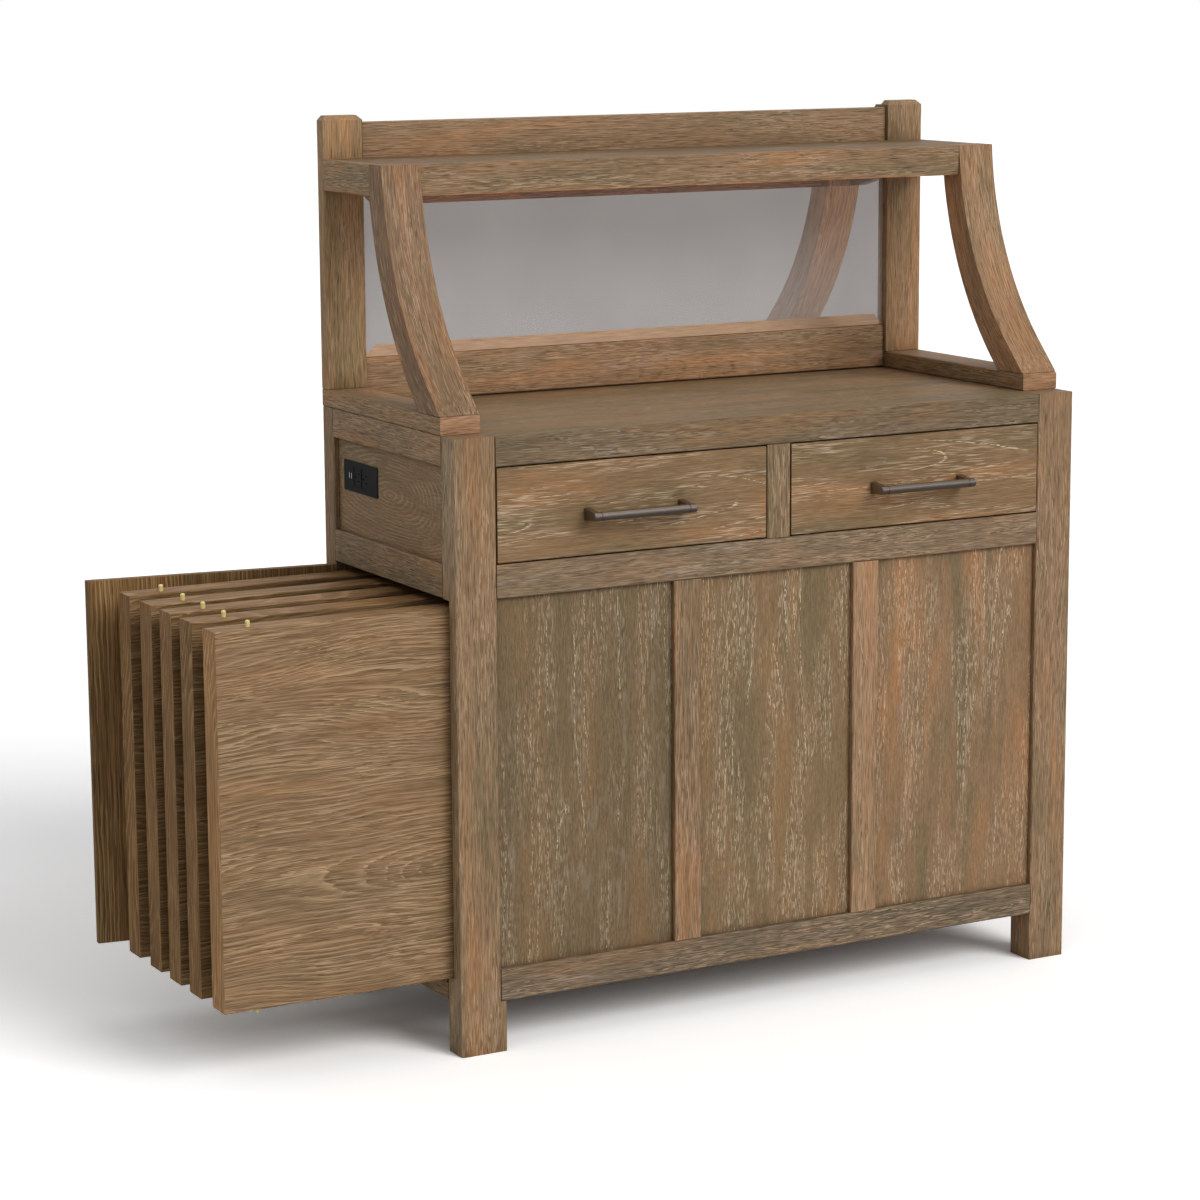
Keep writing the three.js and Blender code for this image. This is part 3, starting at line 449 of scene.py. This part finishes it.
def oak(name, low, high, grain, tone, face=None, filler=FILLER, depth=0.035, offset=None,
        across=1.0, contrast=1.0, ends=None, pins=None, arc=None, sides=(), nook=0.58,
        reach=0.045, **pattern):
    """A board's own material, with its grain along one axis and its show face square to another.

    tone is the board's mean colour, and contrast how far its dark and warm stains differ from it.
    depth and offset say where the tree's heart is, behind the show face's middle and as a share of
    the board's width, and across is how fine the pattern is across the grain. ends names the axes
    of its end faces and of their grain. arc is the place and radius of a bend that the grain
    follows. The list of painted light by side holds directions and the shares of red, green and
    blue by which faces turned each way are painted lighter or darker, as painted light and shade.
    The share of painted shade says how far corners and gaps between parts are darkened as painted
    shade, and reach how far from a corner. pins are the heights below and above which the board is
    brass.
    """
    global count
    count += 1
    material, t = new_material(name)
    here = placed = t.place()
    order = ORDER[grain]
    if face and order[2] != face:
        order = order[0] + order[2] + order[1]
    if arc:
        placed = round_bend(t, here, low, high, *arc)
    if ends:
        placed = with_veneer(t, here, order, ends)
    if offset is None:
        offset = ((count * OFFSET_STEP) % 1.0 - 0.5) * OFFSET_SPAN
    heart = (GRAIN_SHIFT * math.sin(count), offset, depth)

    body = t.tree.nodes.new("ShaderNodeGroup")
    body.node_tree = OAK
    t.put(body.inputs["P"], from_heart(t, placed, low, high, order, heart, across))
    t.put(body.inputs["Seed"], tuple(step * count % wrap for step, wrap in SEED_STEPS))
    t.put(body.inputs["Pore"], linear(*filler))
    for stain, (shares, moves) in STAINS.items():
        t.put(body.inputs[stain], stain_colour(tone, shares, moves, contrast))
    for key, value in {**PATTERN, **pattern}.items():
        t.put(body.inputs[key.capitalize()], value)
    colour, height, rough = body.outputs

    normal = t.normal()
    # painted light and shade: faces turned each given way are painted lighter or darker
    for direction, shares in sides:
        mask = t.math("GREATER_THAN", t.vector("DOT_PRODUCT", normal, direction, out=1), TURNED)
        colour = t.mix(mask, colour, t.mix(1.0, colour, (*shares, 1), "MULTIPLY"))
    # painted shade: corners and the gaps between parts are darkened in the colour itself
    colour = painted_corner_shade(t, colour, nook, reach)

    metal = 0.0
    if pins:
        z = t.split(here)["Z"]
        mask = t.math("MAXIMUM", t.math("LESS_THAN", z, pins[0]),
                      t.math("GREATER_THAN", z, pins[1]))
        colour = t.mix(mask, colour, PIN_BRASS)
        rough = t.mix(mask, rough, PIN_ROUGH, kind="FLOAT")
        height = t.math("MULTIPLY", height, t.math("SUBTRACT", 1.0, mask))
        metal = t.math("MULTIPLY", mask, PIN_METAL)
    bump = t.node("Bump", inputs={
        "Strength": BRUSHED_STRENGTH, "Distance": BRUSHED_DEPTH, "Height": height,
        "Normal": t.node("Bevel", EASED_EDGE, samples=EDGE_SAMPLES),
    })
    t.principled(colour, rough, metal, bump, OAK_LEVEL, OAK_IOR)
    return material


def wear(node, material):
    for s in NODES[node].material_slots:
        s.link = "OBJECT"
        s.material = material


def oak_node(node, grain, tone, **more):
    low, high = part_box(node)
    wear(node, oak(node, low, high, grain, tone, **more))


# ---------------------------------------------------------------- the boards
INNER = dict(filler=(150, 124, 94), pores=0.4, lines=0.7, greyness=0.0)
BIRCH = dict(filler=(180, 146, 104), pores=0.2, lines=0.35, greyness=0.0, contrast=0.4)
FRAME = dict(filler=(198, 166, 136), pores=0.8, threads=0.4, lines=1.65, spacing=0.008,
             length=0.95, across=1.35)
PANEL = dict(face="y", length=2.2, across=1.25, wobble=0.6, thin=1.3)
# the leaves carry strong painted shade, reaching far, in the gaps between them
LEAF = dict(face="y", ends="xz", filler=(188, 158, 122), lines=1.35, pores=1.2, length=0.45,
            spacing=0.0098, slope=0.18, wander=0.155, across=1.3, greyness=0.3, contrast=0.5,
            depth=0.07, figure=0.6, threads=0.3, nook=0.85, reach=0.08)
BACK, HIDDEN, BOX, RUNNER = (110, 86, 60), (104, 80, 55), (210, 176, 132), (112, 86, 60)
# the centre of the brackets' arc, and its radius in metres
BRACKET_ARC = (at(0, -283.6, 1490.8), 0.569)
LEAVES = 5
# in millimetres over the floor, where the leaves' wood ends and their pins stand out of it
LEAF_FOOT, LEAF_TOP = 130.2, 751.4
# the heart of the first leaf, and how much further across it is in each leaf behind
LEAF_HEART, LEAF_HEART_STEP = 0.17, -0.13


def dress_wood():
    """The order of the boards sets their places in the noise."""
    dress_front()
    for side in ("left", "right"):
        dress_side(side)
    dress_middle()
    dress_leaves()


def dress_front():
    # painted light: the left post's left face is lighter
    oak_node("post_front_left", "z", (138, 111, 84), face="y", slope=0.01,
             sides=[(LEFT, (1.28, 1.44, 1.58))], **FRAME)
    oak_node("post_front_right", "z", (142, 114, 87), face="y", slope=0.02, **FRAME)
    oak_node("post_rear_left", "z", (136, 112, 84), face="x", slope=0.01, **FRAME)
    oak_node("post_rear_right", "z", (136, 112, 84), face="x", slope=0.01, **FRAME)
    # painted shade: the counter's front edge is darker
    oak_node("counter_top", "x", (139, 114, 84), face="z", offset=0.1, spacing=0.009, depth=0.05,
             contrast=0.8, filler=(200, 176, 146), pores=0.7, threads=0.25, lines=1.3,
             sides=[(FRONT, (0.72, 0.75, 0.84))])
    oak_node("front_mid_rail", "x", (128, 107, 86), face="y", greyness=0.7, **FRAME)
    oak_node("front_bottom_rail", "x", (111, 96, 79), face="y", greyness=0.5, **FRAME)
    oak_node("drawer_stile", "z", (134, 108, 82), face="y", slope=0.02, **FRAME)
    oak_node("front_stile_left", "z", (135, 108, 82), face="y", slope=0.015, **FRAME)
    oak_node("front_stile_right", "z", (156, 123, 95), face="y", slope=0.015, **FRAME)
    oak_node("front_panel_left", "z", (119, 99, 74), offset=0.1, spacing=0.015, slope=0.06,
             greyness=0.9, pores=0.9, contrast=0.5, **PANEL)
    oak_node("front_panel_middle", "z", (132, 108, 80), offset=0.06, spacing=0.0125, slope=0.09,
             greyness=0.2, pores=1.15, contrast=0.8, **PANEL)
    oak_node("front_panel_right", "z", (142, 113, 85), offset=-0.3, spacing=0.015, slope=0.06,
             pores=1.15, contrast=1.3, **PANEL)


def dress_side(side):
    """The boards that come in pairs, a left one and a right one."""
    left = side == "left"
    for rail in ("side_top_rail_", "side_mid_rail_", "side_bottom_rail_", "shelf_side_rail_"):
        oak_node(rail + side, "y", (144, 120, 92), face="x", greyness=0.6, **FRAME)
    oak_node("side_upper_panel_" + side, "y", (148, 122, 91), face="x", offset=-0.05,
             spacing=0.0065, slope=0.3, pores=0.5, contrast=0.6, filler=(194, 168, 138),
             figure=0.55, depth=0.02, wander=0.09)
    oak_node("drawer_front_" + side, "x", (137, 108, 78), face="y", spacing=0.0175,
             offset=0.12 if left else -0.2, slope=0.11, pores=1.35, across=1.25, length=0.8,
             wobble=0.4, thin=1.6)
    oak_node("drawer_box_" + side, "x", BOX, **BIRCH)
    oak_node("drawer_bottom_" + side, "x", BOX, face="z", **BIRCH)
    oak_node("drawer_runner_" + side, "y", RUNNER, **INNER)
    # the hutch posts are lighter than the frame below: painted light against the shade that the
    # shelf casts on them
    oak_node("hutch_post_" + side, "z", (160, 128, 94) if left else (150, 120, 89), face="y",
             slope=0.01, **FRAME)
    # painted light: the base rail's front faces are lighter
    oak_node("hutch_base_rail_" + side, "y", (152, 122, 91), face="z", ends="yx",
             sides=[(FRONT, (1.33, 1.19, 1.25))], **FRAME)
    # painted light: the brackets' hollow rear faces are much lighter, and the right bracket's left
    # face a little lighter
    painted_lit_side = [] if left else [(LEFT, (1.14, 1.1, 1.07))]
    oak_node("hutch_bracket_" + side, "z", (131, 103, 78) if left else (154, 118, 87), face="y",
             slope=0.005, wander=0.02, arc=BRACKET_ARC,
             sides=[(HOLLOW, (2.1, 1.95, 1.8)), *painted_lit_side], **FRAME)


def dress_middle():
    """The hutch's rails and shelf, the right end's lower panel, the back and the inside."""
    oak_node("side_lower_panel_right", "z", (131, 108, 81), face="x", spacing=0.012, slope=0.05)
    # the hutch rails are lighter than the frame below: painted light against the shade that the
    # shelf casts on them
    oak_node("hutch_top_rail", "x", (152, 123, 96), face="y", offset=0.2, **FRAME)
    oak_node("hutch_lower_rail", "x", (154, 122, 93), face="y", slope=0.1, greyness=0.6, **FRAME)
    # painted light: the rail's underside and rear face and the shelf's underside are lighter, as
    # if lit from below
    oak_node("shelf_front_rail", "x", (139, 111, 84), face="y",
             sides=[(DOWN, (2.6, 1.8, 1.2)), (REAR, (2.4, 1.75, 1.2))], **FRAME)
    oak_node("hutch_shelf", "x", (122, 98, 72), face="z", contrast=0.5, pores=0.6, greyness=0.2,
             sides=[(DOWN, (2.8, 2.0, 1.3))])
    oak_node("back_panel", "z", BACK, face="y", spacing=0.012, **INNER)
    oak_node("mirror_back", "x", BACK, face="y", **INNER)
    oak_node("leaf_tray", "x", HIDDEN, face="z", **INNER)
    oak_node("leaf_guide", "x", HIDDEN, face="z", **INNER)
    oak_node("drawer_divider", "y", HIDDEN, face="x", **INNER)


def dress_leaves():
    # the door's tone is darker than the frame's, partly painted shade of the leaves that stand in
    # front of it
    oak_node("leaf_bay_door", "z", (118, 87, 51), face="y", filler=(180, 146, 100), pores=0.8,
             length=0.3, spacing=0.0065, offset=0.7, lines=1.7, greyness=0.0, wander=0.02,
             figure=0.8, slope=0.02, threads=0.3)
    pins = (at(0, 0, LEAF_FOOT).z, at(0, 0, LEAF_TOP).z)
    for behind in range(LEAVES):
        # the front leaf is redder and its end has painted light; the leaves behind it have a
        # darker tone and darker ends, painted shade of the gaps between them; every leaf's top has
        # painted light
        tone = (126, 96, 61) if behind else (131, 103, 75)
        painted_end_shading = (0.97, 0.86, 0.68) if behind else (1.52, 1.33, 1.03)
        oak_node(f"table_leaf_{behind + 1}", "x", tone, pins=pins,
                 offset=LEAF_HEART + LEAF_HEART_STEP * behind,
                 sides=[(LEFT, painted_end_shading), (UP, (1.18, 1.1, 1.0))], **LEAF)


# ---------------------------------------------------------------- other finishes
# each noise's cells per metre, then its detail and the roughness of that detail
SPECKS = ((400, 400, 400), 3.0, 0.6)
HAZE = ((9, 9, 9), 2.0)
# the streaks are painted into the mirror's lower bevel as a reflection of wood grain
PAINTED_REFLECTION_STREAKS = ((25, 600, 600), 2.0, 0.6)
# how far haze and the painted reflection's streaks move a colour, and the share of it that they
# start from
HAZE_TONE, PAINTED_REFLECTION_TONE = (0.16, 0.92), (0.9, 0.55)
SPECK_DEPTH, SPECK_STRENGTH = 0.0002, 0.1
# a normal with less height than this leans down
LEANS_DOWN = -0.03


def plain(name, colour, rough, metal=0.0, grain=0.0, level=0.5, painted_reflection_below=None):
    """Metal, plastic or glass with a fine unevenness in its gloss.

    grain is how uneven the gloss is, and level how strongly a plain coat reflects. The colour and
    the metal share given last are for faces that lean down: a painted reflection of the warm wood
    below them, with faint painted streaks of its grain.
    """
    material, t = new_material(name)
    here = t.place()
    speck = t.noise(here, *SPECKS)
    haze = t.math("MULTIPLY_ADD", t.noise(here, *HAZE), *HAZE_TONE)
    shade = t.mix(1.0, colour, t.grey(haze), "MULTIPLY")
    gloss = t.math("MULTIPLY_ADD", t.math("SUBTRACT", speck, NOISE_MEAN), grain, rough)
    if painted_reflection_below:
        # painted reflection: faces that lean down get a warm wood tint with streaks
        mask = t.math("LESS_THAN", t.split(t.normal())["Z"], LEANS_DOWN)
        streak = t.math("MULTIPLY_ADD", t.noise(here, *PAINTED_REFLECTION_STREAKS), *PAINTED_REFLECTION_TONE)
        painted_reflection_tint = t.mix(1.0, painted_reflection_below[0], t.grey(streak), "MULTIPLY")
        shade = t.mix(mask, shade, painted_reflection_tint)
        metal = t.mix(mask, metal, painted_reflection_below[1], kind="FLOAT")
    bump = t.node("Bump", inputs={
        "Strength": SPECK_STRENGTH if grain else 0.0, "Distance": SPECK_DEPTH, "Height": speck,
    })
    t.principled(shade, gloss, metal, bump, level)
    return material


BRONZE = plain("dark_bronze", linear(133, 124, 115), 0.32, 1.0, 0.1)
STEEL = plain("antique_steel", linear(120, 112, 100), 0.38, 1.0, 0.12)
PLASTIC = plain("black_plastic", linear(40, 42, 43), 0.6, 0.0, 0.1, level=0.08)
# flat dark blocks stand in for the receptacles' slot holes as painted shade
PAINTED_SLOT_SHADE = plain("painted_slot_shade", linear(8, 8, 8), 0.7, level=0.02)
# a dark sheet of painted shadow for the seam under the hutch's lower rail
SHADOW = plain("seam_shadow", linear(46, 34, 24), 0.8, level=0.1)
TONGUE = plain("charging_tongue", linear(226, 228, 228), 0.4)
# the mirror's lower bevel has a painted reflection of the wood below it
SILVER = plain("silvered_glass", (0.84, 0.835, 0.83, 1), 0.015, 0.76,
               painted_reflection_below=((0.76, 0.53, 0.36, 1), 0.5))


def dress_fittings():
    for side in ("left", "right"):
        wear("drawer_pull_" + side, BRONZE)
    wear("hinge_upper", STEEL)
    wear("hinge_lower", STEEL)
    wear("power_outlet", PLASTIC)
    wear("mirror", SILVER)


# ---------------------------------------------------------------- small inserts
# millimetres from the outlet's rear end to the middles of its charging slots and receptacles
CHARGING_SLOTS, RECEPTACLES = (19.5, 28.0), (51.0, 81.0)
# millimetres from its outer face to the middles of their inserts
TONGUE_IN, SLOT_IN = 4.2, 1.45
# millimetres
TONGUE_SIZE, SLOT_THICKNESS = (7.2, 1.9, 10.4), 0.6
# a receptacle's slots: each one's place in Y and Z from the middle, and its size in both
SLOTS = dict(
    upper_slot=((-5.5, 6.2), (7.6, 1.9)),
    lower_slot=((-5.5, -6.2), (7.6, 1.9)),
    ground_slot=((6.5, 0.0), (4.4, 4.4)),
)
# metres by which each kind of insert has its edges eased
TONGUE_EASE, SLOT_EASE, SHADOW_STRIP_EASE = 0.0003, 0.0002, 0.0001
# metres by which the strip of painted shadow is shorter and narrower than its rail, and its share
# of the gap
SHADOW_STRIP_SHORTER, SHADOW_STRIP_NARROWER, SHADOW_STRIP_SHARE = 0.002, 0.004, 0.8


def slab(name, centre, size, material, ease):
    """A small eased block, built in mesh code, that rides on the cabinet."""
    mesh = bpy.data.meshes.new(name)
    build = bmesh.new()
    bmesh.ops.create_cube(build, size=1.0)
    bmesh.ops.scale(build, vec=size, verts=build.verts)
    bmesh.ops.bevel(build, geom=build.edges[:], offset=ease, segments=2, profile=0.5,
                    affect="EDGES")
    bmesh.ops.translate(build, vec=centre, verts=build.verts)
    build.to_mesh(mesh)
    build.free()
    piece = bpy.data.objects.new(name, mesh)
    mesh.materials.append(material)
    bpy.context.scene.collection.objects.link(piece)
    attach(piece, "cabinet")


def add_outlet_detail():
    """The light tongues in the charging slots, and flat dark blocks of painted shade where the
    receptacles' slots are.
    """
    low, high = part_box("power_outlet")
    origin = Vector((low.x, high.y, (low.z + high.z) / 2))
    for number, forward in enumerate(CHARGING_SLOTS, 1):
        slab(f"charging_tongue_{number}", origin + Vector((TONGUE_IN, -forward, 0)) * 0.001,
             Vector(TONGUE_SIZE) * 0.001, TONGUE, TONGUE_EASE)
    for number, forward in enumerate(RECEPTACLES, 1):
        for label, ((dy, dz), (wide, tall)) in SLOTS.items():
            slab(f"receptacle_{number}_{label}",
                 origin + Vector((SLOT_IN, dy - forward, dz)) * 0.001,
                 Vector((SLOT_THICKNESS, wide, tall)) * 0.001, PAINTED_SLOT_SHADE,
                 SLOT_EASE)


def add_painted_seam_shadow():
    """A dark strip of painted shadow in the seam between the counter and the rail that stands on
    it.
    """
    low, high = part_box("hutch_lower_rail")
    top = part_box("counter_top")[1].z
    gap = low.z - top
    centre = Vector(((low.x + high.x) / 2, (low.y + high.y) / 2, top + gap / 2))
    size = Vector((high.x - low.x - SHADOW_STRIP_SHORTER, high.y - low.y - SHADOW_STRIP_NARROWER,
                   gap * SHADOW_STRIP_SHARE))
    slab("counter_seam_shadow", centre, size, SHADOW, SHADOW_STRIP_EASE)


# ---------------------------------------------------------------- studio
# how bright the white surround is as a light, beside 1 to the eye
AMBIENT = 0.44
# each sun's direction, strength and angle across
SUNS = dict(
    key=((0.30, -0.76, 0.52), 1.88, 32),
    fill=((-0.5, -0.6, 0.62), 0.25, 60),
)
# the floor's tone in the light that it throws, to the eye, and in gloss
FLOOR_BOUNCE, FLOOR_SEEN, FLOOR_IN_GLOSS = 0.80, 1.42, 0.30
FLOOR_REACH = 30
SCREEN_GREY = (0.33, 0.312, 0.303, 1)
SCREEN_RADIUS, SCREEN_FOOT, SCREEN_TOP = 5, -0.2, 7.0
# in degrees, how far the screen reaches to each side of the front, and the width of its faces
SCREEN_REACH, SCREEN_STEP = 110, 10
# rays that have turned more often than this see the screen white
ONE_TURN = 1.5


def add_studio():
    bpy.context.scene.view_settings.view_transform = "Standard"
    add_surround()
    add_suns()
    make_floor()
    make_screen()


def add_surround():
    """A world that is white to the eye and dimmer as a light."""
    world = bpy.data.worlds.new("studio")
    bpy.context.scene.world = world
    world.use_nodes = True
    world.node_tree.nodes.clear()
    t = Tree(world.node_tree)
    strength = t.math("MULTIPLY_ADD", t.seen(), 1 - AMBIENT, AMBIENT)
    t.node("OutputWorld", t.node("Background", WHITE, strength))


def add_suns():
    for name, (direction, strength, across) in SUNS.items():
        lamp = bpy.data.lights.new(name, "SUN")
        lamp.energy = strength
        lamp.angle = math.radians(across)
        light = bpy.data.objects.new(name, lamp)
        light.rotation_euler = Vector(direction).to_track_quat("Z", "Y").to_euler()
        bpy.context.scene.collection.objects.link(light)


def make_floor():
    """A floor that is white to the eye where no shadow falls on it."""
    material, t = new_material("studio_floor")
    glossy = t.node("LightPath").node.outputs["Is Glossy Ray"]
    shade = t.math("MULTIPLY_ADD", t.seen(), FLOOR_SEEN - FLOOR_BOUNCE, FLOOR_BOUNCE)
    shade = t.math("MULTIPLY_ADD", glossy, FLOOR_IN_GLOSS - FLOOR_SEEN, shade)
    t.node("OutputMaterial", t.node("BsdfDiffuse", t.grey(shade)))
    ends = (-FLOOR_REACH, FLOOR_REACH)
    return sheet_of("floor", [(x, y, 0) for x in ends for y in ends], material)


def make_screen():
    """A grey screen round the front, which only the mirror and the metal see."""
    material, t = new_material("grey_screen")
    turns = t.node("LightPath").node.outputs["Ray Depth"]
    colour = t.mix(t.math("GREATER_THAN", turns, ONE_TURN), SCREEN_GREY, WHITE)
    t.node("OutputMaterial", t.node("Emission", colour, 1.0))
    bend = [math.radians(turn) for turn in range(-SCREEN_REACH, SCREEN_REACH + 1, SCREEN_STEP)]
    rim = [(SCREEN_RADIUS * math.sin(turn), -SCREEN_RADIUS * math.cos(turn)) for turn in bend]
    heights = (SCREEN_FOOT, SCREEN_TOP)
    screen = sheet_of("grey_screen", [(x, y, z) for x, y in rim for z in heights], material)
    screen.visible_camera = False
    screen.visible_diffuse = False
    screen.visible_shadow = False
    screen.visible_transmission = False
    return screen


def sheet_of(name, corners, material):
    """A strip of flat faces. Its corners come in pairs, one pair for each crease."""
    mesh = bpy.data.meshes.new(name)
    faces = [(i, i + 2, i + 3, i + 1) for i in range(0, len(corners) - 2, 2)]
    mesh.from_pydata(corners, [], faces)
    mesh.materials.append(material)
    made = bpy.data.objects.new(name, mesh)
    bpy.context.scene.collection.objects.link(made)
    return made


add_camera()
dress_wood()
dress_fittings()
add_outlet_detail()
add_painted_seam_shadow()
add_studio()
